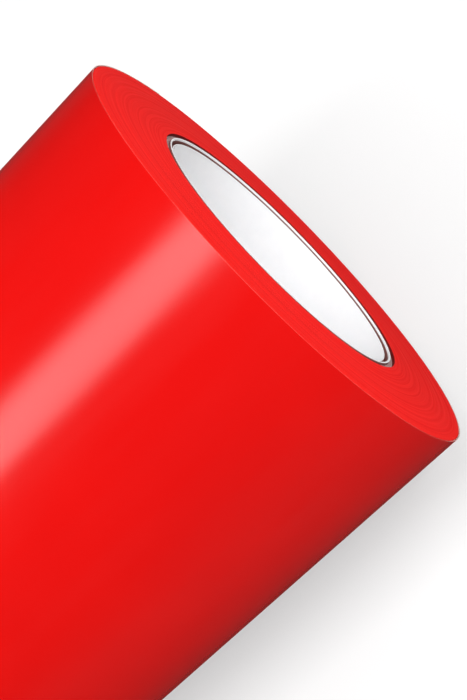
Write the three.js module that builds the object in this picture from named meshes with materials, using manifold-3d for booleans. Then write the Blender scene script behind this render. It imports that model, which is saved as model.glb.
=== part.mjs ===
// Roll of self-adhesive sign vinyl: a three-ply board core with a plastic ring in each mouth,
// the wound web, and the last turn with its face film, adhesive and release liner as layers.
// Millimetres. The axis of the roll runs along X, Z is up, and the roll lies on z = 0.

import * as THREE from "three";
import { mergeVertices } from "three/addons/utils/BufferGeometryUtils.js";
import Module from "manifold-3d";

const wasm = await Module();
wasm.setup();

// Web
const webWidth = 610;
const filmThickness = 0.08;
const adhesiveThickness = 0.02;
const linerThickness = 0.08;
const turnsOnCore = 136;

// Core
const coreBore = 76.2;
const coreWall = 3.175;
const innerPlyThickness = 0.3;
const outerPlyThickness = 0.4;
const coreEndRecess = 1;

// End ring, pressed into the counterbored mouth of the core
const ringSleeveLength = 25;
const ringWall = 1.75;
const ringLipWidth = 0.5;
const ringLipHeight = 0.8;
const ringEdgeWidth = 0.35;
const ringGrooveDepth = 1.2;
const ringTipWall = 1;
const ringTaperLength = 3;

// Tapes and label
const startTapeWidth = 25;
const startTapeThickness = 0.1;
const startTapeAngle = -30;
const tailTapeThickness = 0.05;
const tailTapeLength = 60;
const tailTapeWidth = 19;
const tailTapeInset = 90;
const labelThickness = 0.1;
const labelLength = 80;
const labelArc = 50;
const labelInset = 40;
const labelAngle = 180;

// Tail of the web, as angles round the roll: 0 is the top and they grow towards +Y
const tailRootAngle = 50;
const tailEndAngle = 90;

// Clearances and facets
const plyGap = 0.005;
const ringGap = 0.05;
const jointGap = 0.3;
const facets = 72;

const turnThickness = filmThickness + adhesiveThickness + linerThickness;
const facetAngle = 360 / facets;
const halfWidth = webWidth / 2;
const boreRadius = coreBore / 2;
const coreRadius = boreRadius + coreWall;
const windingInnerRadius = coreRadius + plyGap;
const rollRadius = windingInnerRadius + turnsOnCore * turnThickness;
const counterboreRadius = boreRadius + ringWall + ringGap;
const coreHalfLength = halfWidth - coreEndRecess;
const counterboreDepth = ringSleeveLength + ringGap;

const degreesOf = (arc, radius) => THREE.MathUtils.radToDeg(arc / radius);

// A circle of this radius is drawn as a polygon with flats at 0, facetAngle, 2 facetAngle and so on.
// The flats lie at the true radius times the cosine of half a facet, so every layer nests in the next.
function polygonRadius(radius, angle) {
  const offset = angle - Math.round(angle / facetAngle) * facetAngle;
  const flat = radius * Math.cos(THREE.MathUtils.degToRad(facetAngle / 2));
  return flat / Math.cos(THREE.MathUtils.degToRad(offset));
}

// Point of the polygon at an angle from the top, in the plane across the roll (x is Y, y is Z).
function polygonPoint(radius, angle) {
  const r = polygonRadius(radius, angle);
  const turn = THREE.MathUtils.degToRad(angle);
  return new THREE.Vector2(r * Math.sin(turn), r * Math.cos(turn));
}

// Points along the polygon from one angle to another, with a corner at each edge between facets.
function polygonArc(radius, from, to) {
  const points = [polygonPoint(radius, from)];
  const first = Math.floor(from / facetAngle - 0.5) + 1;
  const tolerance = facetAngle / 100;
  for (let i = first; (i + 0.5) * facetAngle < to - tolerance; i += 1) {
    const corner = (i + 0.5) * facetAngle;
    if (corner > from + tolerance) points.push(polygonPoint(radius, corner));
  }
  points.push(polygonPoint(radius, to));
  return points;
}

// A flat outline across the roll becomes a solid along the axis, from x = start to x = end.
function alongAxis(shape, start, end) {
  const geometry = new THREE.ExtrudeGeometry(shape, {
    depth: end - start,
    bevelEnabled: false,
    steps: 1,
  });
  const axes = new THREE.Matrix4().makeBasis(
    new THREE.Vector3(0, 1, 0),
    new THREE.Vector3(0, 0, 1),
    new THREE.Vector3(1, 0, 0),
  );
  return geometry.applyMatrix4(axes).translate(start, 0, 0);
}

function curvedSheet(inner, outer, from, to, start, end) {
  const outside = polygonArc(outer, from, to);
  const inside = polygonArc(inner, from, to).reverse();
  return alongAxis(new THREE.Shape([...outside, ...inside]), start, end);
}

// A closed profile of [x, radius] points, bore side first towards +X, becomes a turned piece.
function turned(profile) {
  const points = profile.map(([x, radius]) => new THREE.Vector2(radius, x)).reverse();
  points.push(points[0].clone());
  const phiStart = THREE.MathUtils.degToRad(facetAngle / 2);
  const geometry = new THREE.LatheGeometry(points, facets, phiStart);
  const axes = new THREE.Matrix4().makeBasis(
    new THREE.Vector3(0, 1, 0),
    new THREE.Vector3(1, 0, 0),
    new THREE.Vector3(0, 0, -1),
  );
  return geometry.applyMatrix4(axes);
}

function tube(inner, outer, start, end) {
  return turned([
    [start, inner],
    [end, inner],
    [end, outer],
    [start, outer],
  ]);
}

function solidOf(geometry) {
  const positions = new THREE.BufferGeometry();
  positions.setAttribute("position", geometry.getAttribute("position"));
  positions.setIndex(geometry.getIndex());
  const merged = mergeVertices(positions);
  const vertProperties = merged.getAttribute("position").array;
  const triVerts = new Uint32Array(merged.getIndex().array);
  return new wasm.Manifold(new wasm.Mesh({ numProp: 3, vertProperties, triVerts }));
}

function subtract(geometry, cutter) {
  const cut = solidOf(geometry).subtract(solidOf(cutter)).getMesh();
  const result = new THREE.BufferGeometry();
  result.setAttribute("position", new THREE.BufferAttribute(cut.vertProperties, cut.numProp));
  result.setIndex(new THREE.BufferAttribute(cut.triVerts, 1));
  result.computeVertexNormals();
  return result;
}

const finishes = {
  board: { color: 0xb79f80, roughness: 0.9 },
  whitePaper: { color: 0xf2f0f3, roughness: 0.55 },
  kraft: { color: 0xd9cbc4, roughness: 0.8 },
  ringPlastic: { color: 0xf6f5f7, roughness: 0.3 },
  film: { color: 0xe8150c, roughness: 0.22 },
  filmEdge: { color: 0xe62a22, roughness: 0.5 },
  adhesive: { color: 0xd8d0b8, roughness: 0.15 },
  liner: { color: 0xf0eee6, roughness: 0.4 },
  tape: { color: 0xe9e6dc, roughness: 0.12 },
};

function mesh(name, geometry, finish) {
  const material = new THREE.MeshStandardMaterial({ metalness: 0, ...finishes[finish] });
  const piece = new THREE.Mesh(geometry, material);
  piece.name = name;
  return piece;
}

// Core: a white lining ply, the board plies and a smooth outer ply. Both mouths are counterbored.
function makeCore() {
  const core = new THREE.Group();
  const liningHalfLength = coreHalfLength - counterboreDepth;
  const boardInner = boreRadius + innerPlyThickness + plyGap;
  const boardOuter = coreRadius - outerPlyThickness - plyGap;
  const board = [
    [-coreHalfLength, counterboreRadius],
    [-liningHalfLength, counterboreRadius],
    [-liningHalfLength, boardInner],
    [liningHalfLength, boardInner],
    [liningHalfLength, counterboreRadius],
    [coreHalfLength, counterboreRadius],
    [coreHalfLength, boardOuter],
    [-coreHalfLength, boardOuter],
  ];
  const lining = tube(
    boreRadius,
    boreRadius + innerPlyThickness,
    -liningHalfLength,
    liningHalfLength,
  );
  const wrap = tube(coreRadius - outerPlyThickness, coreRadius, -coreHalfLength, coreHalfLength);
  core.add(mesh("core_board_plies", turned(board), "board"));
  core.add(mesh("core_lining_ply", lining, "whitePaper"));
  core.add(mesh("core_outer_ply", wrap, "kraft"));
  return core;
}

// End ring: a thin sleeve with a flush bore, and at its mouth a lip, a groove and a fine inner edge.
function ringProfile() {
  const face = coreHalfLength;
  const inner = boreRadius;
  const outer = boreRadius + ringWall;
  const sleeveEnd = face - ringSleeveLength;
  return [
    [sleeveEnd, inner],
    [face, inner],
    [face, inner + ringEdgeWidth],
    [face - ringGrooveDepth, inner + ringEdgeWidth],
    [face - ringGrooveDepth, outer - ringLipWidth],
    [face + ringLipHeight, outer - ringLipWidth],
    [face + ringLipHeight, outer],
    [sleeveEnd + ringTaperLength, outer],
    [sleeveEnd, inner + ringTipWall],
  ];
}

function makeEndRings() {
  const rings = new THREE.Group();
  const near = turned(ringProfile());
  const far = turned(ringProfile().map(([x, radius]) => [-x, radius]).reverse());
  rings.add(mesh("end_ring_near", near, "ringPlastic"));
  rings.add(mesh("end_ring_far", far, "ringPlastic"));
  return rings;
}

// Winding: every turn but the last is one solid, which bridges the start tape on the core.
function makeWinding() {
  const winding = new THREE.Group();
  const half = degreesOf(startTapeWidth, coreRadius) / 2;
  const from = startTapeAngle - half;
  const to = startTapeAngle + half;
  const edge = degreesOf(jointGap, coreRadius);
  const turns = tube(
    windingInnerRadius,
    rollRadius - turnThickness - plyGap,
    -halfWidth,
    halfWidth,
  );
  const tapeRoom = curvedSheet(
    windingInnerRadius - startTapeThickness,
    windingInnerRadius + startTapeThickness,
    from - edge,
    to + edge,
    -webWidth,
    webWidth,
  );
  const tape = curvedSheet(
    windingInnerRadius,
    coreRadius + startTapeThickness,
    from,
    to,
    -coreHalfLength,
    coreHalfLength,
  );
  winding.add(mesh("wound_web", subtract(turns, tapeRoom), "filmEdge"));
  winding.add(mesh("start_tape", tape, "tape"));
  return winding;
}

// The three layers of the web in the last turn, from the inside out.
function lastTurnLayers() {
  const linerInner = rollRadius - turnThickness;
  const adhesiveInner = linerInner + linerThickness;
  const filmInner = adhesiveInner + adhesiveThickness;
  return [
    { name: "liner", inner: linerInner, outer: adhesiveInner - plyGap, finish: "liner" },
    { name: "adhesive", inner: adhesiveInner, outer: filmInner - plyGap, finish: "adhesive" },
    { name: "film", inner: filmInner, outer: rollRadius, finish: "film" },
  ];
}

function makeLastTurn() {
  const turn = new THREE.Group();
  const gap = degreesOf(jointGap, rollRadius);
  for (const { name, inner, outer, finish } of lastTurnLayers()) {
    const held = curvedSheet(
      inner,
      outer,
      tailEndAngle + gap,
      tailRootAngle + 360,
      -halfWidth,
      halfWidth,
    );
    turn.add(mesh("last_turn_" + name, held, finish));
  }
  return turn;
}

function makeTail() {
  const tail = new THREE.Group();
  const gap = degreesOf(jointGap, rollRadius);
  for (const { name, inner, outer, finish } of lastTurnLayers()) {
    const flap = curvedSheet(inner, outer, tailRootAngle + gap, tailEndAngle, -halfWidth, halfWidth);
    tail.add(mesh("tail_" + name, flap, finish));
  }
  const tapeInner = rollRadius + plyGap;
  const tapeHalf = degreesOf(tailTapeLength, rollRadius) / 2;
  const places = { left: -1, middle: 0, right: 1 };
  for (const [side, place] of Object.entries(places)) {
    const middle = place * (halfWidth - tailTapeInset);
    const tape = curvedSheet(
      tapeInner,
      tapeInner + tailTapeThickness,
      tailEndAngle - tapeHalf,
      tailEndAngle + tapeHalf,
      middle - tailTapeWidth / 2,
      middle + tailTapeWidth / 2,
    );
    tail.add(mesh("tail_tape_" + side, tape, "tape"));
  }
  return tail;
}

// Blank paper label stuck inside the bore, behind the near ring.
function makeLabel() {
  const half = degreesOf(labelArc, boreRadius) / 2;
  const outerEnd = coreHalfLength - counterboreDepth - labelInset;
  const label = curvedSheet(
    boreRadius - plyGap - labelThickness,
    boreRadius - plyGap,
    labelAngle - half,
    labelAngle + half,
    outerEnd - labelLength,
    outerEnd,
  );
  return mesh("core_label", label, "whitePaper");
}

const roll = new THREE.Group();
roll.position.z = polygonRadius(rollRadius, 0);
roll.add(makeCore(), makeEndRings(), makeWinding(), makeLastTurn(), makeTail(), makeLabel());

export default roll;
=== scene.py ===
"""A roll of glossy red sign vinyl on a white floor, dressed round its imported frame.

The roll lies on its side along X. Angles round it are in degrees from the top and grow towards
+Y, the side that the loose tail of the web lies on. Lengths are in metres.
"""

from __future__ import annotations

import logging
import math
import random
from dataclasses import dataclass
from enum import Enum
from functools import cache, cached_property
from typing import Callable, Sequence

import bmesh
import bpy
from mathutils import Matrix, Vector, noise

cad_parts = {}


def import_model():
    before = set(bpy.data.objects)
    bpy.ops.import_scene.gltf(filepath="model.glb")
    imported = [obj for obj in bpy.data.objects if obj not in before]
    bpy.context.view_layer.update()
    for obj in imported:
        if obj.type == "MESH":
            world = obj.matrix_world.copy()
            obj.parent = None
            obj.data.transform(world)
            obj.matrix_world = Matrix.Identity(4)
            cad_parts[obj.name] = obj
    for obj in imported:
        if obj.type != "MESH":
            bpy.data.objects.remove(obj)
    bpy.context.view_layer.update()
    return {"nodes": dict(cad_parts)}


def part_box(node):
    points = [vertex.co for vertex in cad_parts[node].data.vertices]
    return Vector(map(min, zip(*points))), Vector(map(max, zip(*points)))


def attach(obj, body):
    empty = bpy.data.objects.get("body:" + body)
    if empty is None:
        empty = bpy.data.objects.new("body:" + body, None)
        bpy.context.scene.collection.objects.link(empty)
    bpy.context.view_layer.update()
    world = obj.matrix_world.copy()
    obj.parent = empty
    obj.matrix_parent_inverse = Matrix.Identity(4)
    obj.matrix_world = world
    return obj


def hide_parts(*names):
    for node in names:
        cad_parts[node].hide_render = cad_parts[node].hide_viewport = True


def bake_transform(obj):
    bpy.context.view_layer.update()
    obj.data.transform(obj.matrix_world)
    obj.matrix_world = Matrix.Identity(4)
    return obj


log = logging.getLogger("vinyl_roll")

MM = 0.001
CAD_FLATS = 72
PLY_GAP = 0.005 * MM
THROWN_RED = (0.34, 0.2, 0.2, 1)

Outline = Sequence[tuple[float, float]]
Surface = Callable[[float, float, float], Vector]
Colour = tuple[float, float, float, float]
Socket = bpy.types.NodeSocket
Sockets = dict[str, Socket]


class End(Enum):
    """The two ends of the roll, with the sign of X at each."""

    NEAR = 1
    FAR = -1

    @property
    def word(self) -> str:
        """The end's name in lower case."""
        return self.name.lower()


class Layer(Enum):
    """The layers of the web, from the inside of the roll out."""

    LINER = "liner"
    ADHESIVE = "adhesive"
    FILM = "film"


def grey(level: float) -> Colour:
    """A plain grey of a level from 0 to 1."""
    return (level, level, level, 1)


def smooth_step(value: float, low: float, high: float) -> float:
    """Rises smoothly from 0 at low to 1 at high."""
    share = min(1.0, max(0.0, (value - low) / (high - low)))
    return share * share * (3 - 2 * share)


# Sizes


@cache
def node_box(node: str) -> tuple[Vector, Vector]:
    """Lowest and highest corners of one of the frame's nodes, worked out once."""
    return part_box(node)


@dataclass(frozen=True)
class RollSizes:
    """Sizes that every sub-assembly shares, read from the frame.

    Radii are those of the true circles, because the frame's solids are polygons round the axis.
    """

    axis_height: float
    half_width: float
    spans: dict[Layer, tuple[float, float]]
    winding_outer: float
    winding_inner: float
    tail_root: float = 50
    tail_end: float = 90

    @classmethod
    def from_frame(cls) -> RollSizes:
        """Reads the sizes from the boxes of the frame's nodes.

        Returns:
            The roll's sizes.
        """
        low, high = node_box("last_turn_film")
        outer = {layer: cls.radius_of("last_turn_" + layer.value) for layer in Layer}
        winding = cls.radius_of("wound_web")
        spans = {
            Layer.LINER: (winding + PLY_GAP, outer[Layer.LINER]),
            Layer.ADHESIVE: (outer[Layer.LINER] + PLY_GAP, outer[Layer.ADHESIVE]),
            Layer.FILM: (outer[Layer.ADHESIVE] + PLY_GAP, outer[Layer.FILM]),
        }
        return cls(
            axis_height=(low.z + high.z) / 2,
            half_width=high.x,
            spans=spans,
            winding_outer=winding,
            winding_inner=cls.radius_of("core_outer_ply") + PLY_GAP,
        )

    @staticmethod
    def radius_of(node: str) -> float:
        """Radius of the circle through the corners of a node that goes round the axis."""
        low, high = node_box(node)
        return (high.y - low.y) / 2 / math.cos(math.pi / CAD_FLATS)

    @property
    def radius(self) -> float:
        """Outer radius of the roll."""
        return self.spans[Layer.FILM][1]

    @property
    def turn(self) -> float:
        """Thickness of one turn of the web."""
        return self.radius - self.winding_outer

    @property
    def centre(self) -> Vector:
        """Middle of the roll's axis."""
        return Vector((0, 0, self.axis_height))

    def place(self, x: float, radius: float, angle: float) -> Vector:
        """Point on the roll.

        Args:
            x: Place along the axis.
            radius: Distance from the axis.
            angle: Angle round it in degrees.

        Returns:
            The point.
        """
        turned = math.radians(angle)
        across = Vector((0, math.sin(turned), math.cos(turned))) * radius
        return self.centre + across + Vector((x, 0, 0))

    def radius_at(self, point: Vector) -> float:
        """Distance of a point from the axis."""
        return math.hypot(point.y, point.z - self.axis_height)

    def angle_at(self, point: Vector) -> float:
        """Angle of a point round the axis, from one tail's length past the tail's end up to it.

        Args:
            point: Any point off the axis.

        Returns:
            Degrees, above tail_end - 360 and at most tail_end.
        """
        angle = math.degrees(math.atan2(point.y, point.z - self.axis_height))
        slack = 1e-4
        while angle > self.tail_end + slack:
            angle -= 360
        while angle <= self.tail_end - 360 + slack:
            angle += 360
        return angle

    def spiral(self, angle: float) -> float:
        """How far the outer turn lies inside the roll's radius at an angle, as it spirals in."""
        return self.turn * (self.tail_end - angle) / 360


# Mesh tools


def sweep_round(
    bm: bmesh.types.BMesh,
    sizes: RollSizes,
    outline: Outline,
    segments: int,
) -> None:
    """Spins a closed outline a full turn round the roll's axis.

    Args:
        bm: The mesh that takes the new faces.
        sizes: The roll's sizes.
        outline: Points of (x, radius), in order round the outline.
        segments: Steps in the full turn.
    """
    verts = [bm.verts.new(sizes.place(x, radius, sizes.tail_end)) for x, radius in outline]
    edges = [bm.edges.new(pair) for pair in zip(verts, verts[1:] + verts[:1])]
    bmesh.ops.spin(
        bm,
        geom=verts + edges,
        cent=sizes.centre,
        axis=(-1, 0, 0),
        angle=math.tau,
        steps=segments,
        use_merge=True,
    )


def wrapped_sheet(
    bm: bmesh.types.BMesh,
    grid: tuple[int, int],
    surface: Surface,
    inner: float,
    outer: float,
) -> None:
    """Makes a closed sheet from a flat grid, its two faces bent to two surfaces.

    Args:
        bm: The mesh that takes the new faces.
        grid: Faces along the roll and round it.
        surface: Gives a point from a level and two shares of 0 to 1, along and round.
        inner: Level of the inner face.
        outer: Level of the outer face.
    """
    along, round_ = grid
    bmesh.ops.create_grid(bm, x_segments=along, y_segments=round_, size=0.5)
    reach = max(vert.co.x for vert in bm.verts)
    sheet = list(bm.verts) + list(bm.edges) + list(bm.faces)
    raised = bmesh.ops.extrude_face_region(bm, geom=sheet, use_keep_orig=True)["geom"]
    top = {item for item in raised if isinstance(item, bmesh.types.BMVert)}
    for vert in bm.verts:
        level = outer if vert in top else inner
        vert.co = surface(level, vert.co.x / reach / 2 + 0.5, vert.co.y / reach / 2 + 0.5)


def round_sharp_edges(
    bm: bmesh.types.BMesh, width: float, segments: int = 3, least_angle: float = 25
) -> None:
    """Bevels every edge of a closed mesh that turns by more than an angle.

    Args:
        bm: The mesh.
        width: Width of the bevel.
        segments: Faces across it.
        least_angle: Edges that turn by less than this many degrees stay.
    """
    bmesh.ops.recalc_face_normals(bm, faces=bm.faces)
    limit = math.radians(least_angle)
    sharp = [e for e in bm.edges if e.is_manifold and e.calc_face_angle() > limit]
    bmesh.ops.bevel(
        bm,
        geom=sharp,
        offset=width,
        affect="EDGES",
        segments=segments,
        profile=0.5,
        material=-1,
        clamp_overlap=True,
    )


def rounded_box(left: float, right: float, low: float, high: float, corner: float) -> Outline:
    """Outline of a rectangle with small rounded corners.

    Args:
        left: Lowest x.
        right: Highest x.
        low: Lowest radius.
        high: Highest radius.
        corner: Radius of the corners.

    Returns:
        Points of (x, radius), three at each corner.
    """
    corners = ((left, low, 180), (right, low, 270), (right, high, 0), (left, high, 90))
    points = []
    for x, radius, start in corners:
        middle_x = x + corner if x == left else x - corner
        middle_radius = radius + corner if radius == low else radius - corner
        for step in range(3):
            turned = math.radians(start + 45 * step)
            points.append(
                (middle_x + corner * math.cos(turned), middle_radius + corner * math.sin(turned))
            )
    return points


def make_piece(
    bm: bmesh.types.BMesh,
    name: str,
    materials: Sequence[bpy.types.Material],
    sharp_angle: float = 35,
) -> bpy.types.Object:
    """Turns a finished bmesh into an object of the scene, with smooth shading.

    Args:
        bm: The finished mesh, which is freed.
        name: The piece's name.
        materials: Its materials, in slot order.
        sharp_angle: Edges that turn by more than this stay sharp.

    Returns:
        The new object, at the origin.
    """
    bmesh.ops.recalc_face_normals(bm, faces=bm.faces)
    mesh = bpy.data.meshes.new(name)
    bm.to_mesh(mesh)
    bm.free()
    mesh.polygons.foreach_set("use_smooth", [True] * len(mesh.polygons))
    mesh.set_sharp_from_angle(angle=math.radians(sharp_angle))
    for material in materials:
        mesh.materials.append(material)
    piece = bpy.data.objects.new(name, mesh)
    bpy.context.scene.collection.objects.link(piece)
    return piece


def settle(piece: bpy.types.Object, nodes: Sequence[str], body: str | None) -> None:
    """Says which body a piece rides on, which nodes it stands for.

    Args:
        piece: The finished piece.
        nodes: The frame's nodes that it stands for.
        body: The body that it rides on, or None to leave it on no body.
    """
    if body:
        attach(piece, body)
    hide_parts(*nodes)
    log.info("%s: %d faces, stands for %s", piece.name, len(piece.data.polygons), ", ".join(nodes))


# Shader tools


class NodeSheet:
    """Adds and links the nodes of one shader tree."""

    def __init__(self, tree: bpy.types.NodeTree) -> None:
        """Starts on a tree."""
        self.tree = tree

    def add(self, kind: str, **settings: object) -> bpy.types.Node:
        """Adds a node.

        Args:
            kind: Its type without the leading ShaderNode.
            settings: Properties to set on it.

        Returns:
            The node.
        """
        node = self.tree.nodes.new("ShaderNode" + kind)
        for key, value in settings.items():
            setattr(node, key, value)
        return node

    def feed(self, socket: Socket, value: object) -> None:
        """Links a socket into another, or sets its value.

        Args:
            socket: The input.
            value: The output to link, or a plain value.
        """
        if isinstance(value, Socket):
            self.tree.links.new(value, socket)
        else:
            socket.default_value = value

    def math(self, operation: str, *values: object) -> Socket:
        """Adds one Math node.

        Args:
            operation: What it works out.
            values: Sockets or numbers to work on.

        Returns:
            The result.
        """
        node = self.add("Math", operation=operation)
        for socket, value in zip(node.inputs, values):
            self.feed(socket, value)
        return node.outputs[0]

    def weigh(self, *parts: tuple[Socket, float]) -> Socket:
        """Adds up values, each times its weight.

        Args:
            parts: Pairs of value and weight.

        Returns:
            The sum.
        """
        total: Socket | float = 0.0
        for value, weight in parts:
            total = self.math("MULTIPLY_ADD", value, weight, total)
        return total

    def position(self, sizes: RollSizes, scale: Sequence[float] = (1, 1, 1)) -> Socket:
        """Object coordinates in millimetres from the middle of the axis.

        Args:
            sizes: The roll's sizes.
            scale: Stretch along X, Y and Z.

        Returns:
            The position.
        """
        coordinates = self.add("TexCoord")
        mapping = self.add("Mapping")
        per_metre = [factor / MM for factor in scale]
        mapping.inputs["Scale"].default_value = per_metre
        mapping.inputs["Location"].default_value = (0, 0, -sizes.axis_height * per_metre[2])
        self.feed(mapping.inputs["Vector"], coordinates.outputs["Object"])
        return mapping.outputs["Vector"]

    def noise(
        self, position: Socket, scale: object, detail: float = 3, rough: float = 0.5
    ) -> Socket:
        """Value of a noise texture.

        Args:
            position: Where.
            scale: Its scale, as a number or a socket.
            detail: Octaves.
            rough: Roughness of the octaves.

        Returns:
            A value about 0.5.
        """
        node = self.add("TexNoise")
        self.feed(node.inputs["Vector"], position)
        self.feed(node.inputs["Scale"], scale)
        self.feed(node.inputs["Detail"], detail)
        self.feed(node.inputs["Roughness"], rough)
        return node.outputs["Fac"]

    def stretch(
        self, value: Socket, low: float, high: float, to_low: float = 0, to_high: float = 1
    ) -> Socket:
        """Maps a range smoothly to another, clamped.

        Args:
            value: The value.
            low: Value that maps to to_low.
            high: Value that maps to to_high.
            to_low: First result.
            to_high: Last result.

        Returns:
            The mapped value.
        """
        node = self.add("MapRange", interpolation_type="SMOOTHSTEP")
        self.feed(node.inputs["Value"], value)
        self.feed(node.inputs["From Min"], low)
        self.feed(node.inputs["From Max"], high)
        self.feed(node.inputs["To Min"], to_low)
        self.feed(node.inputs["To Max"], to_high)
        return node.outputs["Result"]

    def mix(self, share: object, first: object, second: object) -> Socket:
        """Mixes two colours.

        Args:
            share: How much of the second.
            first: The colour at 0.
            second: The colour at 1.

        Returns:
            The mixed colour.
        """
        node = self.add("Mix", data_type="RGBA")
        self.feed(node.inputs[0], share)
        self.feed(node.inputs[6], first)
        self.feed(node.inputs[7], second)
        return node.outputs[2]

    def group(self, tree: bpy.types.NodeTree, **inputs: object) -> bpy.types.Node:
        """Places a node group.

        Args:
            tree: The group.
            inputs: What each of its inputs takes.

        Returns:
            The group's node.
        """
        node = self.add("Group")
        node.node_tree = tree
        for name, value in inputs.items():
            self.feed(node.inputs[name], value)
        return node


class Coat(NodeSheet):
    """The tree of one finish, with its shader and the place on the roll."""

    def __init__(self, material: bpy.types.Material, sizes: RollSizes) -> None:
        """Starts on a new material.

        Args:
            material: The material.
            sizes: The roll's sizes.
        """
        super().__init__(material.node_tree)
        self.shader = material.node_tree.nodes["Principled BSDF"]
        self.sizes = sizes
        self.place = self.position(sizes)

    def colour(self, value: Socket) -> None:
        """Feeds the base colour."""
        self.feed(self.shader.inputs["Base Color"], value)

    def red_colour(self, value: Socket) -> None:
        """Feeds a red base colour that throws a greyer light on what lies round it."""
        thrown = self.add("LightPath").outputs["Is Diffuse Ray"]
        self.colour(self.mix(thrown, value, THROWN_RED))

    def rough(self, value: Socket) -> None:
        """Feeds the roughness."""
        self.feed(self.shader.inputs["Roughness"], value)

    def relief(self, height: Socket, depth: float) -> None:
        """Bumps the surface.

        Args:
            height: Height, where 1 stands for depth.
            depth: A distance in metres.
        """
        node = self.add("Bump")
        self.feed(node.inputs["Height"], height)
        self.feed(node.inputs["Distance"], depth)
        self.feed(node.inputs["Strength"], 1)
        self.feed(self.shader.inputs["Normal"], node.outputs["Normal"])


@dataclass(frozen=True)
class EffectGroup:
    """A shader node group that several finishes share."""

    name: str
    inputs: tuple[tuple[str, str], ...]
    outputs: tuple[tuple[str, str], ...]

    def tree(self) -> bpy.types.NodeTree:
        """Gives the group, building it at the first call.

        Returns:
            The node tree, with its named sockets.
        """
        made = bpy.data.node_groups.get(self.name)
        if made:
            return made
        made = bpy.data.node_groups.new(self.name, "ShaderNodeTree")
        for way, sockets in (("INPUT", self.inputs), ("OUTPUT", self.outputs)):
            for label, kind in sockets:
                made.interface.new_socket(name=label, in_out=way, socket_type="NodeSocket" + kind)
        sheet = NodeSheet(made)
        entry = made.nodes.new("NodeGroupInput")
        result = made.nodes.new("NodeGroupOutput")
        values = self.work(sheet, {socket.name: socket for socket in entry.outputs})
        for label, value in values.items():
            sheet.feed(result.inputs[label], value)
        return made

    def work(self, sheet: NodeSheet, given: Sockets) -> Sockets:
        """Builds the group's nodes.

        Args:
            sheet: The group's own tree.
            given: The group's inputs by name.

        Returns:
            What each output puts out.
        """
        raise NotImplementedError


@dataclass(frozen=True)
class WoundLayers(EffectGroup):
    """Fine concentric layers round the axis, as wound web and paper plies show at their edges."""

    def work(self, sheet: NodeSheet, given: Sockets) -> Sockets:
        """Bands and lines from the distance to the axis, a little uneven round it.

        Args:
            sheet: The group's own tree.
            given: Position in millimetres, and Pitch from one layer to the next.

        Returns:
            Band, a slow change of tone; Line, 0 to 0.5 across a layer; and Radius.
        """
        split = sheet.add("SeparateXYZ")
        sheet.feed(split.inputs[0], given["Position"])
        flat = sheet.add("CombineXYZ")
        sheet.feed(flat.inputs["Y"], split.outputs["Y"])
        sheet.feed(flat.inputs["Z"], split.outputs["Z"])
        length = sheet.add("VectorMath", operation="LENGTH")
        sheet.feed(length.inputs[0], flat.outputs[0])
        sway = sheet.noise(flat.outputs[0], 0.03, 1)
        radius = sheet.math("MULTIPLY_ADD", sway, given["Pitch"], length.outputs["Value"])
        layer = sheet.math("DIVIDE", radius, given["Pitch"])
        band = sheet.add("TexNoise", noise_dimensions="1D")
        sheet.feed(band.inputs["W"], layer)
        sheet.feed(band.inputs["Scale"], 0.16)
        sheet.feed(band.inputs["Detail"], 5)
        sheet.feed(band.inputs["Roughness"], 0.72)
        return {
            "Band": sheet.stretch(band.outputs["Fac"], 0.3, 0.7),
            "Line": sheet.math("PINGPONG", sheet.math("FRACT", layer), 0.5),
            "Radius": length.outputs["Value"],
        }


@dataclass(frozen=True)
class PaperFibre(EffectGroup):
    """Short fibres and soft clouds of paper and board."""

    def work(self, sheet: NodeSheet, given: Sockets) -> Sockets:
        """Clouds with a little fibre for the tone, and fibres for the height.

        Args:
            sheet: The group's own tree.
            given: Position in millimetres, and Grain, the fibres' scale.

        Returns:
            Tone and Height.
        """
        soft = sheet.math("MULTIPLY", given["Grain"], 0.08)
        clouds = sheet.noise(given["Position"], soft, 4, 0.6)
        fibres = sheet.noise(given["Position"], given["Grain"], 2, 0.7)
        tone = sheet.math("MULTIPLY_ADD", fibres, 0.4, clouds)
        return {"Tone": sheet.stretch(tone, 0.45, 0.95), "Height": fibres}


@dataclass(frozen=True)
class HandlingMarks(EffectGroup):
    """Faint rub marks and dust that a smooth surface picks up in handling."""

    def work(self, sheet: NodeSheet, given: Sockets) -> Sockets:
        """A sparse mask of streaks, and the soft unevenness under it.

        Args:
            sheet: The group's own tree.
            given: Position in millimetres, Scale of the streaks and Amount of them.

        Returns:
            Marks and Unevenness.
        """
        wide = sheet.math("MULTIPLY", given["Scale"], 0.03)
        patches = sheet.stretch(sheet.noise(given["Position"], wide, 2), 0.5, 0.75)
        streaks = sheet.stretch(sheet.noise(given["Position"], given["Scale"], 4, 0.65), 0.58, 0.8)
        sparse = sheet.math("MULTIPLY", patches, streaks)
        soft = sheet.math("MULTIPLY", given["Scale"], 0.3)
        return {
            "Marks": sheet.math("MULTIPLY", sparse, given["Amount"]),
            "Unevenness": sheet.noise(given["Position"], soft, 2),
        }


WOUND_LAYERS = WoundLayers(
    "wound_layers",
    (("Position", "Vector"), ("Pitch", "Float")),
    (("Band", "Float"), ("Line", "Float"), ("Radius", "Float")),
)
PAPER_FIBRE = PaperFibre(
    "paper_fibre",
    (("Position", "Vector"), ("Grain", "Float")),
    (("Tone", "Float"), ("Height", "Float")),
)
HANDLING_MARKS = HandlingMarks(
    "handling_marks",
    (("Position", "Vector"), ("Scale", "Float"), ("Amount", "Float")),
    (("Marks", "Float"), ("Unevenness", "Float")),
)


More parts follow.
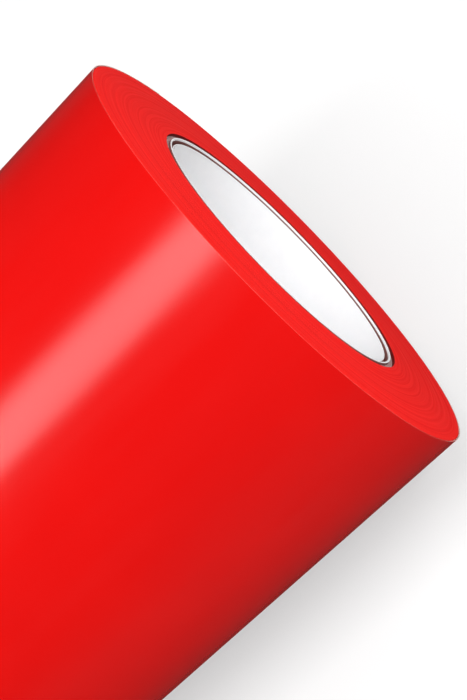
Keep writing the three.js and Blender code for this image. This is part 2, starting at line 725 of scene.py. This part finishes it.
@dataclass(frozen=True)
class Finish:
    """A named surface finish, with the two tones that its colour varies between."""

    name: str
    tones: tuple[Colour, Colour]
    roughness: float

    def material(self, sizes: RollSizes) -> bpy.types.Material:
        """Gives the finish's material, building it at the first call.

        Args:
            sizes: The roll's sizes, for patterns that centre on the axis.

        Returns:
            The material.
        """
        made = bpy.data.materials.get(self.name)
        if made:
            return made
        made = bpy.data.materials.new(self.name)
        made.use_nodes = True
        coat = Coat(made, sizes)
        coat.shader.inputs["Roughness"].default_value = self.roughness
        self.dress(coat)
        return made

    def dress(self, coat: Coat) -> None:
        """Adds the finish's own nodes to its coat."""
        raise NotImplementedError


@dataclass(frozen=True)
class GlossFilm(Finish):
    """Calendered vinyl film: even colour, a soft gloss and a very slight orange peel."""

    # Strength of the painted highlight along both slit edges.
    rim_highlight: float = 0
    rim_reach: float = 0.36
    rim_tone: Colour = (0.97, 0.10, 0.085, 1)
    cloud_scale: float = 0.02
    mark_scale: float = 0.5
    mark_amount: float = 0.02
    streak_stretch: tuple[float, float, float] = (0.15, 1, 1)
    peel_scale: float = 0.55
    peel_depth: float = 0.0015 * MM

    def dress(self, coat: Coat) -> None:
        """Tone clouds, roughness that follows rubbing, and peel along the web.

        Args:
            coat: The finish's coat.
        """
        streaks = coat.position(coat.sizes, self.streak_stretch)
        settings = {"Position": streaks, "Scale": self.mark_scale, "Amount": self.mark_amount}
        marks = coat.group(HANDLING_MARKS.tree(), **settings).outputs
        clouds = coat.stretch(coat.noise(coat.place, self.cloud_scale, 2), 0.35, 0.65)
        tinted = coat.mix(clouds, *self.tones)
        # A paler tone along both slit edges: a painted highlight.
        if self.rim_highlight:
            tinted = coat.mix(self.painted_rim_highlight(coat), tinted, self.rim_tone)
        coat.red_colour(tinted)
        smoothest = self.roughness - 0.015
        worn = coat.stretch(marks["Unevenness"], 0.3, 0.7, smoothest, self.roughness + 0.02)
        coat.rough(coat.math("ADD", worn, marks["Marks"]))
        coat.relief(coat.noise(coat.place, self.peel_scale, 2), self.peel_depth)

    def painted_rim_highlight(self, coat: Coat) -> Socket:
        """Share of the paler tone painted along both slit edges as a highlight on the film's rim.

        Args:
            coat: The finish's coat.

        Returns:
            A mask, 0 away from the edges.
        """
        split = coat.add("SeparateXYZ")
        coat.feed(split.inputs[0], coat.place)
        end = coat.sizes.half_width / MM
        along = coat.math("ABSOLUTE", split.outputs["X"])
        near_end = coat.stretch(along, end - self.rim_reach, end - self.rim_reach / 2)
        patchy = coat.stretch(coat.noise(coat.place, 0.05, 2), 0.3, 0.7, 0.4, 1)
        return coat.math("MULTIPLY", near_end, coat.math("MULTIPLY", patchy, self.rim_highlight))


@dataclass(frozen=True)
class SlitEdges(Finish):
    """The slit edges of wound film and liner, turn on turn, which all lean a little outwards."""

    pitch: float = 0.18
    depth: float = 0.012
    lean: float = -0.11
    gloss: float = 0.12

    def dress(self, coat: Coat) -> None:
        """Bands of tone and gloss that follow the turns, with a line for each turn.

        Args:
            coat: The finish's coat.
        """
        turns = coat.group(WOUND_LAYERS.tree(), Position=coat.place, Pitch=self.pitch).outputs
        tone = coat.weigh((turns["Band"], 0.7), (turns["Line"], 0.6))
        coat.red_colour(coat.mix(tone, *self.tones))
        coat.rough(coat.stretch(turns["Band"], 0, 1, self.roughness + 0.08, self.roughness - 0.06))
        coat.shader.inputs["Specular IOR Level"].default_value = self.gloss
        coat.relief(coat.weigh((turns["Line"], 2 * self.depth), (turns["Radius"], self.lean)), MM)


@dataclass(frozen=True)
class MouldedPlastic(Finish):
    """Smooth injection-moulded plastic."""

    mark_scale: float = 1.4
    mark_amount: float = 0.12
    texture_scale: float = 4
    texture_depth: float = 0.006 * MM
    glow: float = 0.08
    glow_reach: float = 1 * MM

    def dress(self, coat: Coat) -> None:
        """Fine mould texture, light rub marks and a slight tone.

        Args:
            coat: The finish's coat.
        """
        settings = {"Position": coat.place, "Scale": self.mark_scale, "Amount": self.mark_amount}
        marks = coat.group(HANDLING_MARKS.tree(), **settings).outputs
        coat.colour(coat.mix(marks["Unevenness"], *self.tones))
        coat.rough(coat.math("ADD", marks["Marks"], self.roughness))
        coat.relief(coat.noise(coat.place, self.texture_scale, 2), self.texture_depth)
        coat.shader.inputs["Subsurface Weight"].default_value = self.glow
        coat.shader.inputs["Subsurface Radius"].default_value = (1, 0.9, 0.85)
        coat.shader.inputs["Subsurface Scale"].default_value = self.glow_reach


@dataclass(frozen=True)
class ShadedGap(Finish):
    """Painted shade: dark, mottled sides of a narrow gap that hardly any light reaches."""

    shade_mottle_scale: float = 0.8
    gloss: float = 0.2

    def dress(self, coat: Coat) -> None:
        """Soft mottled patches over the painted shade."""
        coat.colour(coat.mix(coat.noise(coat.place, self.shade_mottle_scale, 3), *self.tones))
        coat.shader.inputs["Specular IOR Level"].default_value = self.gloss


@dataclass(frozen=True)
class Paper(Finish):
    """Paper: fine fibres and soft clouds."""

    grain: float = 3
    spread: float = 0.05
    depth: float = 0.01 * MM

    def dress(self, coat: Coat) -> None:
        """Fibres in the tone and in the height.

        Args:
            coat: The finish's coat.
        """
        fibre = coat.group(PAPER_FIBRE.tree(), Position=coat.place, Grain=self.grain).outputs
        coat.colour(coat.mix(fibre["Tone"], *self.tones))
        low, high = self.roughness - self.spread, self.roughness + self.spread
        coat.rough(coat.stretch(fibre["Tone"], 0, 1, low, high))
        coat.relief(fibre["Height"], self.depth)


@dataclass(frozen=True)
class BoardPlies(Finish):
    """Wound paperboard: plies as fine rings at the cut end, and fibres all over."""

    ply: float = 0.35
    grain: float = 2.5
    spread: float = 0.1
    depth: float = 0.04 * MM

    def dress(self, coat: Coat) -> None:
        """Ply rings and fibres, in the tone and in the height.

        Args:
            coat: The finish's coat.
        """
        plies = coat.group(WOUND_LAYERS.tree(), Position=coat.place, Pitch=self.ply).outputs
        fibre = coat.group(PAPER_FIBRE.tree(), Position=coat.place, Grain=self.grain).outputs
        coat.colour(coat.mix(coat.weigh((plies["Line"], 1.1), (fibre["Tone"], 0.45)), *self.tones))
        coat.rough(coat.stretch(fibre["Tone"], 0, 1, self.roughness, self.roughness - self.spread))
        coat.relief(coat.weigh((plies["Line"], 1), (fibre["Height"], 0.5)), self.depth)


@dataclass(frozen=True)
class ClearTape(Finish):
    """Clear adhesive tape, faintly milky, with small trapped bubbles."""

    opacity: float = 0.11
    bubble_opacity: float = 0.25
    bubble_scale: float = 0.9
    ripple_scale: float = 0.25
    ripple_depth: float = 0.03 * MM

    def dress(self, coat: Coat) -> None:
        """Bubbles in the opacity and a slight ripple in the surface.

        Args:
            coat: The finish's coat.
        """
        bubbles = coat.stretch(coat.noise(coat.place, self.bubble_scale, 3), 0.6, 0.72)
        coat.colour(coat.mix(bubbles, *self.tones))
        milky = coat.math("MULTIPLY_ADD", bubbles, self.bubble_opacity, self.opacity)
        coat.feed(coat.shader.inputs["Alpha"], milky)
        coat.relief(coat.noise(coat.place, self.ripple_scale, 2), self.ripple_depth)


# The film's paler tone along both slit edges is a painted highlight on the rim.
FILM = GlossFilm(
    "red_gloss_film", ((0.62, 0.0016, 0.0010, 1), (0.65, 0.0023, 0.0014, 1)), 0.2, rim_highlight=0.65
)
WEB_EDGE = SlitEdges("red_slit_edges", ((0.76, 0.0015, 0.0012, 1), (0.96, 0.014, 0.010, 1)), 0.45)
ADHESIVE = GlossFilm("clear_adhesive", ((0.62, 0.50, 0.36, 1), (0.70, 0.60, 0.46, 1)), 0.3)
LINER = Paper("release_liner", ((0.80, 0.79, 0.74, 1), (0.87, 0.86, 0.82, 1)), 0.42)
LABEL = Paper("label_paper", ((0.84, 0.84, 0.82, 1), (0.90, 0.90, 0.89, 1)), 0.6)
LINING = Paper("white_lining_paper", ((0.85, 0.85, 0.86, 1), (0.90, 0.90, 0.91, 1)), 0.5)
# Board and outer ply tones are darkened and tinted red: painted shade and painted red bounce light
# at the core's end.
BOARD_PAINTED_SHADE = BoardPlies("core_board", ((0.30, 0.17, 0.16, 1), (0.52, 0.34, 0.33, 1)), 0.85)
OUTER_PLY_PAINTED_SHADE = BoardPlies("core_outer_paper", ((0.36, 0.22, 0.21, 1), (0.58, 0.41, 0.40, 1)), 0.75)
RING_PLASTIC = MouldedPlastic(
    "white_ring_plastic", ((0.89, 0.885, 0.90, 1), (0.93, 0.925, 0.935, 1)), 0.3
)
# Painted shade: dark colour for the rings' grooves and the lips' outer walls.
RING_GROOVE_PAINTED_SHADE = ShadedGap("ring_groove_shade", ((0.18, 0.060, 0.052, 1), (0.30, 0.13, 0.115, 1)), 0.9)
# Painted shade: dark colour for the winding's inner wall over the core's end.
INNER_TURN_PAINTED_SHADE = ShadedGap("inner_turn_shade", ((0.12, 0.004, 0.004, 1), (0.22, 0.010, 0.008, 1)), 0.8)
TAPE = ClearTape("clear_tape", ((0.80, 0.78, 0.72, 1), (0.95, 0.95, 0.93, 1)), 0.12)


# Sub-assemblies


@dataclass
class Winding:
    """The web on its core up to the last turn, with every turn's edge at both ends."""

    sizes: RollSizes
    pitch: float = 0.18 * MM
    segments: int = 192
    rim: float = 0.5 * MM
    wander: float = 0.09 * MM
    scatter: float = 0.022 * MM
    sway: float = 0.04 * MM
    spiral_depth: float = 1.5 * MM
    seed: int = 11

    def setback(self, radius: float, end: End, rng: random.Random) -> float:
        """How far a turn's edge stands back from the end plane.

        Args:
            radius: The turn's radius.
            end: The end of the roll.
            rng: Source of the small scatter from turn to turn.

        Returns:
            A distance of 0 or more.
        """
        across = radius / MM
        slow = noise.noise(Vector((across * 0.42, end.value * 7.3, 0)))
        quick = noise.noise(Vector((across * 1.7, end.value * 3.1, 5)))
        depth = self.wander * (1 + 0.75 * slow + 0.45 * quick) + self.scatter * rng.random()
        gap = self.sizes.winding_outer - radius
        if gap < self.rim:
            depth += self.rim - math.sqrt(self.rim**2 - (self.rim - gap) ** 2)
        return max(0.0, depth)

    def outline(self) -> Outline:
        """Section of the winding, with a point for each turn at both ends.

        Returns:
            Points of (x, radius).
        """
        rng = random.Random(self.seed)
        low = self.sizes.winding_inner
        high = self.sizes.winding_outer
        turns = round((high - low) / self.pitch)
        radii = [low + (high - low) * step / turns for step in range(turns + 1)]
        near = [(self.sizes.half_width - self.setback(r, End.NEAR, rng), r) for r in radii]
        far = [(self.setback(r, End.FAR, rng) - self.sizes.half_width, r) for r in radii]
        return near + far[::-1]

    def shape(self, point: Vector) -> Vector:
        """Moves a point of the spun winding by its uneven edges and its spiral.

        Args:
            point: A point of the evenly spun winding.

        Returns:
            The point's place.
        """
        radius = self.sizes.radius_at(point)
        angle = self.sizes.angle_at(point)
        across = self.sizes.place(0, radius / MM * 0.035, angle) - self.sizes.centre
        lean = noise.noise(across + Vector((3.7 * math.copysign(1, point.x), 0, radius / MM * 0.3)))
        inward = self.sizes.spiral(angle) * smooth_step(
            radius, self.sizes.winding_outer - self.spiral_depth, self.sizes.winding_outer
        )
        x = point.x - math.copysign(self.sway * (0.5 + 0.5 * lean), point.x)
        return self.sizes.place(x, radius - inward, angle)

    def build(self) -> None:
        """Builds the winding, its edges, its outer film and its inner turn, painted in shade."""
        bm = bmesh.new()
        sweep_round(bm, self.sizes, self.outline(), self.segments)
        for vert in bm.verts:
            vert.co = self.shape(vert.co)
        bm.normal_update()
        for face in bm.faces:
            radius = self.sizes.radius_at(face.calc_center_median())
            # The inner wall takes painted shade, and the outer wall takes the film.
            wall = 1 if radius > (self.sizes.winding_outer + self.sizes.winding_inner) / 2 else 2
            face.material_index = 0 if abs(face.normal.x) > 0.5 else wall
        finishes = (WEB_EDGE, FILM, INNER_TURN_PAINTED_SHADE)
        materials = [finish.material(self.sizes) for finish in finishes]
        piece = make_piece(bm, "winding", materials, sharp_angle=60)
        settle(piece, ["wound_web"], "roll")


LAYER_FINISH = {Layer.LINER: LINER, Layer.ADHESIVE: ADHESIVE, Layer.FILM: FILM}


@dataclass
class LastTurn:
    """The film, adhesive and liner of the last turn, up to where the tail is free."""

    sizes: RollSizes
    grid: tuple[int, int] = (12, 200)
    film_setback: float = 0.2 * MM
    liner_setback: float = 0.26 * MM
    tail_lead: float = 6
    end_gap: float = 0.05

    def half_width(self, layer: Layer) -> float:
        """Half of a layer's width, with the liner trimmed a little narrower than the film."""
        setback = self.liner_setback if layer is Layer.LINER else self.film_setback
        return self.sizes.half_width - setback

    def build(self) -> None:
        """Builds the three layers."""
        start = self.sizes.tail_end - 360 + self.end_gap
        stop = self.sizes.tail_root - self.tail_lead
        for layer in Layer:
            self.build_layer(layer, start, stop)

    def build_layer(self, layer: Layer, start: float, stop: float) -> None:
        """Builds one layer, from a start angle to a stop angle.

        Args:
            layer: The layer.
            start: Its first angle.
            stop: Its last angle.
        """
        half = self.half_width(layer)
        low, high = self.sizes.spans[layer]

        def surface(radius: float, along: float, round_: float) -> Vector:
            """Point at a radius, spiralling in, and at two shares of the layer's extent."""
            angle = start + (stop - start) * round_
            x = half * (2 * along - 1)
            return self.sizes.place(x, radius - self.sizes.spiral(angle), angle)

        bm = bmesh.new()
        wrapped_sheet(bm, self.grid, surface, low, high)
        material = LAYER_FINISH[layer].material(self.sizes)
        piece = make_piece(bm, f"last_turn_{layer.value}_sheet", [material])
        settle(piece, [f"last_turn_{layer.value}"], "roll")


@dataclass
class Tail:
    """The free end of the web, held down by strips of clear tape."""

    sizes: RollSizes
    turn: LastTurn
    grid: tuple[int, int] = (120, 48)
    edge_lift: float = 0.7 * MM
    lift_from: float = 66
    held_within: float = 14 * MM
    free_from: float = 110 * MM
    wave: float = 0.02
    bend_before: float = 3.5 * MM
    bend_after: float = 9 * MM
    tape_thickness: float = 0.05 * MM
    tape_step: float = 1.6
    tooth: float = 0.7 * MM
    teeth: int = 14
    tape_rows: int = 48

    @cached_property
    def tapes(self) -> dict[str, tuple[Vector, Vector]]:
        """The frame's box of each tape, by side."""
        return {side: node_box(f"tail_tape_{side}") for side in ("left", "middle", "right")}

    def lift(self, x: float, angle: float) -> float:
        """How far the tail stands off the roll, between its tapes and towards its edge.

        Args:
            x: Place along the roll.
            angle: Angle round the roll.

        Returns:
            A distance of 0 or more.
        """
        middles = [((low + high) / 2).x for low, high in self.tapes.values()]
        near = min(abs(x - middle) for middle in middles)
        free = smooth_step(near, self.held_within, self.free_from)
        uneven = 0.8 + 0.4 * noise.noise(Vector((x / MM * self.wave, 2.4, 0)))
        rise = smooth_step(angle, self.lift_from, self.sizes.tail_end + 6) ** 1.5
        return self.edge_lift * free * uneven * rise

    def build(self) -> None:
        """Builds the tail's layers and the tapes on it."""
        for layer in Layer:
            self.build_layer(layer)
        for side, (low, high) in self.tapes.items():
            self.build_tape(side, low.x, high.x)

    def build_layer(self, layer: Layer) -> None:
        """Builds one layer of the tail, which lifts off the roll towards its edge.

        Args:
            layer: The layer.
        """
        start = self.sizes.tail_root - self.turn.tail_lead
        half = self.turn.half_width(layer)
        low, high = self.sizes.spans[layer]

        def surface(radius: float, along: float, round_: float) -> Vector:
            """Point at a radius, with the tail's lift, and at two shares of the layer's extent."""
            angle = start + (self.sizes.tail_end - start) * round_
            x = half * (2 * along - 1)
            lifted = radius - self.sizes.spiral(angle) + self.lift(x, angle)
            return self.sizes.place(x, lifted, angle)

        bm = bmesh.new()
        wrapped_sheet(bm, self.grid, surface, low, high)
        material = LAYER_FINISH[layer].material(self.sizes)
        piece = make_piece(bm, f"tail_{layer.value}_sheet", [material])
        settle(piece, [f"tail_{layer.value}"], None)
        root = self.sizes.place(0, self.sizes.radius, self.sizes.tail_root)
        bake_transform(piece)

    def build_tape(self, side: str, left: float, right: float) -> None:
        """Builds one strip of tape over the tail's edge, its ends cut by a toothed blade.

        Args:
            side: Which tape.
            left: Its lowest x.
            right: Its highest x.
        """
        low, high = node_box(f"tail_tape_{side}")
        half_arc = math.degrees(math.asin((high.z - low.z) / 2 / self.sizes.radius))
        start = self.sizes.tail_end - half_arc
        stop = self.sizes.tail_end + half_arc
        tooth = math.degrees(self.tooth / self.sizes.radius)

        def surface(height: float, along: float, round_: float) -> Vector:
            """Point at a height over what the tape is stuck to, and at two shares of its extent.

            Args:
                height: Distance off the film under the tape.
                along: Share of the tape's width.
                round_: Share of its length.

            Returns:
                The point.
            """
            notched = abs((along * self.teeth) % 1 - 0.5) * 2 * tooth
            angle = start + notched + (stop - start - 2 * notched) * round_
            edge = self.sizes.tail_end
            base = self.sizes.radius - self.sizes.spiral(min(angle, edge))
            base -= self.sizes.turn * smooth_step(angle, edge, edge + self.tape_step)
            return self.sizes.place(left + (right - left) * along, base + height, angle)

        bm = bmesh.new()
        wrapped_sheet(bm, (self.teeth * 2, self.tape_rows), surface, PLY_GAP, self.tape_thickness)
        piece = make_piece(bm, f"tape_strip_{side}", [TAPE.material(self.sizes)])
        settle(piece, [f"tail_tape_{side}"], "tail")


@dataclass
class Core:
    """The board tube that the web is wound on, with its outer and lining plies and its label."""

    sizes: RollSizes
    segments: int = 192
    edge: float = 0.12 * MM
    lining_thickness: float = 0.3 * MM
    lining_lead: float = 170 * MM
    lining_seam: float = 0.5 * MM
    lining_corner: float = 0.06 * MM
    lining_steps: int = 96
    ply_corner: float = 0.08 * MM
    ring_fit: float = 0.05 * MM
    label_corner: float = 3 * MM
    label_thickness: float = 0.105 * MM
    label_angle: float = 180
    label_grid: tuple[int, int] = (80, 40)

    @cached_property
    def bore_radius(self) -> float:
        """Radius of the bore."""
        return self.sizes.radius_of("core_lining_ply") - self.lining_thickness

    def build(self) -> None:
        """Builds the tube's plies and the label."""
        self.build_board()
        self.build_outer_ply()
        self.build_lining()
        self.build_label()

    def build_board(self) -> None:
        """Builds the board plies, counterbored at both mouths for the end rings."""
        end = node_box("core_board_plies")[1].x
        step = node_box("core_lining_ply")[1].x
        inner = self.sizes.radius_of("core_lining_ply") + PLY_GAP
        mouth = self.sizes.radius_of("end_ring_near") + self.ring_fit
        outer = self.sizes.radius_of("core_board_plies")
        outline = [
            (-end, mouth),
            (-step, mouth),
            (-step, inner),
            (step, inner),
            (step, mouth),
            (end, mouth),
            (end, outer),
            (-end, outer),
        ]
        bm = bmesh.new()
        sweep_round(bm, self.sizes, outline, self.segments)
        round_sharp_edges(bm, self.edge)
        piece = make_piece(bm, "core_board", [BOARD_PAINTED_SHADE.material(self.sizes)])
        settle(piece, ["core_board_plies"], "roll")

    def build_outer_ply(self) -> None:
        """Builds the smooth ply round the board."""
        end = node_box("core_outer_ply")[1].x
        outer = self.sizes.radius_of("core_outer_ply")
        inner = self.sizes.radius_of("core_board_plies") + PLY_GAP
        bm = bmesh.new()
        outline = rounded_box(-end, end, inner, outer, self.ply_corner)
        sweep_round(bm, self.sizes, outline, self.segments)
        piece = make_piece(bm, "core_outer_wrap", [OUTER_PLY_PAINTED_SHADE.material(self.sizes)])
        settle(piece, ["core_outer_ply"], "roll")

    def build_lining(self) -> None:
        """Winds the lining ply as a helical strip whose edges nearly meet, and trims its ends."""
        end = node_box("core_lining_ply")[1].x
        outer = self.sizes.radius_of("core_lining_ply")
        start = -end - self.lining_lead
        turns = math.ceil((2 * end + self.lining_lead) / self.lining_lead)
        strip = self.lining_lead - self.lining_seam
        outline = rounded_box(start, start + strip, self.bore_radius, outer, self.lining_corner)
        bm = bmesh.new()
        verts = [bm.verts.new(self.sizes.place(x, radius, 0)) for x, radius in outline]
        edges = [bm.edges.new(pair) for pair in zip(verts, verts[1:] + verts[:1])]
        bmesh.ops.spin(
            bm,
            geom=verts + edges,
            cent=self.sizes.centre,
            axis=(-1, 0, 0),
            dvec=(self.lining_lead / self.lining_steps, 0, 0),
            angle=math.tau * turns,
            steps=self.lining_steps * turns,
            use_merge=False,
        )
        bmesh.ops.holes_fill(bm, edges=[e for e in bm.edges if e.is_boundary], sides=0)
        for side in End:
            bmesh.ops.bisect_plane(
                bm,
                geom=list(bm.verts) + list(bm.edges) + list(bm.faces),
                plane_co=(side.value * end, 0, 0),
                plane_no=(side.value, 0, 0),
                clear_outer=True,
            )
            bmesh.ops.holes_fill(bm, edges=[e for e in bm.edges if e.is_boundary], sides=0)
        bmesh.ops.triangulate(bm, faces=[f for f in bm.faces if len(f.verts) > 4])
        piece = make_piece(bm, "core_lining", [LINING.material(self.sizes)])
        settle(piece, ["core_lining_ply"], "roll")

    def build_label(self) -> None:
        """Builds the blank label on the bore, with rounded corners."""
        low, high = node_box("core_label")
        half_arc = math.degrees(math.asin((high.y - low.y) / 2 / self.bore_radius))
        length = high.x - low.x
        arc = math.radians(2 * half_arc) * self.bore_radius

        def surface(depth: float, along: float, round_: float) -> Vector:
            """Point at a depth off the bore's wall and at two shares, pulled in at the corners.

            Args:
                depth: Distance off the wall, towards the axis.
                along: Share of the label's length.
                round_: Share of its width.

            Returns:
                The point.
            """
            x_edge = min(along, 1 - along) * length
            pull = max(0.0, 1 - x_edge / self.label_corner)
            inset = self.label_corner * (1 - math.sqrt(1 - pull * pull)) / arc
            share = inset + (1 - 2 * inset) * round_
            angle = self.label_angle + half_arc * (2 * share - 1)
            return self.sizes.place(low.x + length * along, self.bore_radius - depth, angle)

        bm = bmesh.new()
        wrapped_sheet(bm, self.label_grid, surface, self.label_thickness, PLY_GAP)
        piece = make_piece(bm, "blank_label", [LABEL.material(self.sizes)])
        settle(piece, ["core_label"], "roll")


@dataclass
class EndRings:
    """The white plastic rings pressed into the core's mouths."""

    sizes: RollSizes
    segments: int = 192
    wall: float = 1.75 * MM
    lip_width: float = 0.5 * MM
    lip_height: float = 0.8 * MM
    edge_width: float = 0.35 * MM
    groove_depth: float = 1.2 * MM
    tip_wall: float = 1 * MM
    taper: float = 3 * MM
    fillet: float = 0.13 * MM
    groove_rim: float = 0.25 * MM

    def outline(self) -> Outline:
        """Section of the near ring: sleeve, inner edge, groove and lip.

        Returns:
            Points of (x, radius).
        """
        low, high = node_box("end_ring_near")
        outer = self.sizes.radius_of("end_ring_near")
        inner = outer - self.wall
        face = high.x - self.lip_height
        board = node_box("core_board_plies")[1].x
        return [
            (low.x, inner),
            (face, inner),
            (face, inner + self.edge_width),
            (face - self.groove_depth, inner + self.edge_width),
            (face - self.groove_depth, outer - self.lip_width),
            (face + self.groove_rim, outer - self.lip_width),
            (face + self.lip_height, outer - self.lip_width),
            (face + self.lip_height, outer),
            (board, outer),
            (low.x + self.taper, outer),
            (low.x, inner + self.tip_wall),
        ]

    def takes_painted_shade(self, point: Vector) -> bool:
        """Tells if a point of a ring lies in its groove or on the outer wall of its lip.

        Args:
            point: The point.

        Returns:
            True if it takes the shaded finish.
        """
        high = node_box("end_ring_near")[1].x
        board = node_box("core_board_plies")[1].x
        outer = self.sizes.radius_of("end_ring_near")
        radius = self.sizes.radius_at(point)
        if radius > outer - self.fillet / 4:
            return abs(point.x) > board
        deep = abs(point.x) < high - self.lip_height + self.groove_rim
        inner = outer - self.wall + self.edge_width * 0.9
        return deep and inner < radius < outer - self.lip_width * 0.9

    def build(self) -> None:
        """Builds both rings."""
        for end in End:
            bm = bmesh.new()
            outline = [(end.value * x, radius) for x, radius in self.outline()]
            sweep_round(bm, self.sizes, outline, self.segments)
            round_sharp_edges(bm, self.fillet, least_angle=12)
            for face in bm.faces:
                # Faces in the groove and on the lip's outer wall take painted shade.
                face.material_index = int(self.takes_painted_shade(face.calc_center_median()))
            materials = [RING_PLASTIC.material(self.sizes), RING_GROOVE_PAINTED_SHADE.material(self.sizes)]
            piece = make_piece(bm, f"core_ring_{end.word}", materials, 50)
            settle(piece, [f"end_ring_{end.word}"], f"{end.word}_ring")


# Studio


@dataclass(frozen=True)
class SoftLight:
    """A rectangular soft light that aims at a point."""

    name: str
    place: tuple[float, float, float]
    size: tuple[float, float]
    radiance: float
    reflects: bool
    aim: tuple[float, float, float] = (0, 0, 0)

    def build(self) -> None:
        """Adds the light to the scene, its long side along X where it can be."""
        width, height = self.size
        lamp = bpy.data.lights.new(self.name, "AREA")
        lamp.shape = "RECTANGLE"
        lamp.size = width
        lamp.size_y = height
        lamp.energy = self.radiance * math.pi * width * height
        holder = bpy.data.objects.new(self.name, lamp)
        away = (Vector(self.place) - Vector(self.aim)).normalized()
        side = Vector((1, 0, 0)) - away * away.x
        side = side.normalized() if side.length > 0.2 else Vector((0, 1, 0))
        up = away.cross(side)
        turned = Matrix((side, up, away)).transposed().to_4x4()
        holder.matrix_world = Matrix.Translation(Vector(self.place)) @ turned
        holder.visible_glossy = self.reflects
        holder.visible_camera = False
        bpy.context.scene.collection.objects.link(holder)


@dataclass
class Studio:
    """The pale floor, the soft lights, the surroundings and the camera."""

    sizes: RollSizes
    floor_size: float = 12
    lit_reach: float = 0.9
    far_reach: float = 3
    cloud_scale: float = 0.004
    mirrored: float = 0.035
    side: float = 30
    tilt: float = 14.1
    slope: float = 44
    lens: float = 61.6
    distance: float = 4.706
    slide: tuple[float, float] = (-0.198, -0.4)

    def build(self) -> None:
        """Builds the whole studio."""
        self.build_floor()
        self.build_surroundings()
        self.build_lights()
        self.build_camera()
        bpy.context.scene.view_settings.view_transform = "Standard"

    def build_floor(self) -> None:
        """Lays a large pale floor under the roll."""
        bm = bmesh.new()
        bmesh.ops.create_grid(bm, x_segments=1, y_segments=1, size=self.floor_size)
        material = bpy.data.materials.new("pale_floor")
        material.use_nodes = True
        sheet = Coat(material, self.sizes)
        shader = sheet.shader
        distance = sheet.add("VectorMath", operation="LENGTH")
        sheet.feed(distance.inputs[0], sheet.place)
        far = sheet.stretch(distance.outputs["Value"], self.lit_reach / MM, self.far_reach / MM)
        clouds = sheet.noise(sheet.place, self.cloud_scale, 2)
        pale = sheet.mix(clouds, grey(0.48), grey(0.50))
        pale = sheet.mix(far, pale, grey(0.02))
        glow = sheet.mix(far, grey(0.36), grey(0.95))
        path = sheet.add("LightPath")
        bounced = sheet.mix(path.outputs["Is Glossy Ray"], grey(0.55), grey(self.mirrored))
        seen = path.outputs["Is Camera Ray"]
        sheet.feed(shader.inputs["Base Color"], sheet.mix(seen, bounced, pale))
        sheet.feed(shader.inputs["Emission Color"], sheet.mix(seen, (0, 0, 0, 1), glow))
        shader.inputs["Emission Strength"].default_value = 1
        shader.inputs["Roughness"].default_value = 0.8
        shader.inputs["Specular IOR Level"].default_value = 0.1
        floor = make_piece(bm, "floor", [material])

    def build_surroundings(self) -> None:
        """Makes the world white to the eye, mid grey as light and dim in reflections."""
        world = bpy.data.worlds.new("studio")
        world.use_nodes = True
        bpy.context.scene.world = world
        sheet = NodeSheet(world.node_tree)
        background = world.node_tree.nodes["Background"]
        path = sheet.add("LightPath")
        dim = sheet.mix(path.outputs["Is Glossy Ray"], grey(0.48), grey(self.mirrored))
        seen = sheet.mix(path.outputs["Is Camera Ray"], dim, grey(0.97))
        sheet.feed(background.inputs["Color"], seen)

    def build_lights(self) -> None:
        """Hangs the strip that the film mirrors, the key light and the light on the near end."""
        lights = [
            SoftLight("strip", (-0.2, -0.15, 1.7), (2.6, 0.57), 4.4, True),
            SoftLight("key", (1.2, -0.66, 1.48), (0.5, 0.5), 20, False, (0.3, 0, 0.066)),
            SoftLight("end_light", (2.0, 0.15, 1.15), (1.2, 1.2), 2.7, False, (0.3, 0, 0.066)),
            SoftLight("low_fill", (1.3, -1.5, 0.4), (1.4, 0.6), 0.6, False, (0.2, 0, 0.066)),
        ]
        for light in lights:
            light.build()

    def build_camera(self) -> None:
        """Places the camera a few roll radii from the near end.

        It looks across the roll from side degrees off the top towards -Y, and tilt degrees off
        square to the axis. The axis runs slope degrees up across the picture.
        """
        side, tilt, slope = (math.radians(v) for v in (self.side, self.tilt, self.slope))
        square = math.cos(tilt)
        forward = Vector((-math.sin(tilt), square * math.sin(side), -square * math.cos(side)))
        along = (Vector((1, 0, 0)) - forward * forward.x).normalized()
        across = along.cross(forward)
        right = along * math.cos(slope) - across * math.sin(slope)
        up = along * math.sin(slope) + across * math.cos(slope)
        face = self.sizes.centre + Vector((self.sizes.half_width, 0, 0))
        sideways, lift = self.slide
        reach = right * sideways + up * lift - forward * self.distance
        camera = bpy.data.objects.new("camera", bpy.data.cameras.new("camera"))
        camera.data.lens = self.lens
        camera.data.clip_end = 50
        turned = Matrix((right, up, -forward)).transposed().to_4x4()
        camera.matrix_world = Matrix.Translation(face + reach * self.sizes.radius) @ turned
        bpy.context.scene.collection.objects.link(camera)
        bpy.context.scene.camera = camera


def dress_carried_nodes(frame: dict, sizes: RollSizes) -> None:
    """Gives the frame's own nodes that stay in view their finish.

    Args:
        frame: The frame.
        sizes: The roll's sizes.
    """
    tape = frame["nodes"]["start_tape"]
    tape.data.materials.clear()
    tape.data.materials.append(TAPE.material(sizes))
    log.info("start_tape: carried over from the frame")


def main() -> None:
    """Builds every sub-assembly round the frame, then the studio."""
    logging.basicConfig(level=logging.INFO, format="%(name)s: %(message)s")
    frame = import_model()
    sizes = RollSizes.from_frame()
    log.info("roll of %.1f mm by %.0f mm", 2 * sizes.radius / MM, 2 * sizes.half_width / MM)
    Winding(sizes).build()
    turn = LastTurn(sizes)
    turn.build()
    Tail(sizes, turn).build()
    Core(sizes).build()
    EndRings(sizes).build()
    dress_carried_nodes(frame, sizes)
    Studio(sizes).build()


if __name__ == "__main__":
    main()
